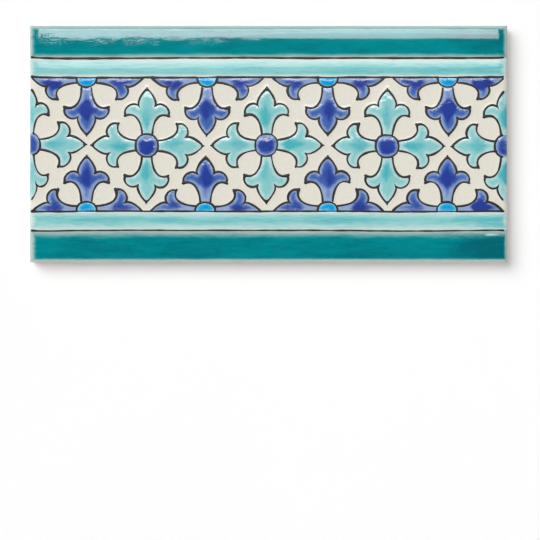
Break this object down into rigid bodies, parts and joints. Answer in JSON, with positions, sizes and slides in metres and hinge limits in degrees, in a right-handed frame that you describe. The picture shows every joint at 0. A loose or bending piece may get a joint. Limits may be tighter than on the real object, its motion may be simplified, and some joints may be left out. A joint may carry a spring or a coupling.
{
  "type": "border tile",
  "caption": "Rectangular glazed ceramic border tile with crowned edge bands, a raised fleur cross pattern on its face and a grooved back for adhesive.",
  "frame": {"origin": "middle of the back face, on the surface that the tile lies on", "axes": "+X along the tile, +Y across it, +Z out of the glazed face"},
  "size_m": [0.2, 0.099, 0.0085],
  "materials": {
    "glazed_face": "thick glossy coloured glazes over pale earthenware"
  },
  "bodies": {
    "root": {"border_tile": "glazed_face"}
  },
  "joints": []
}
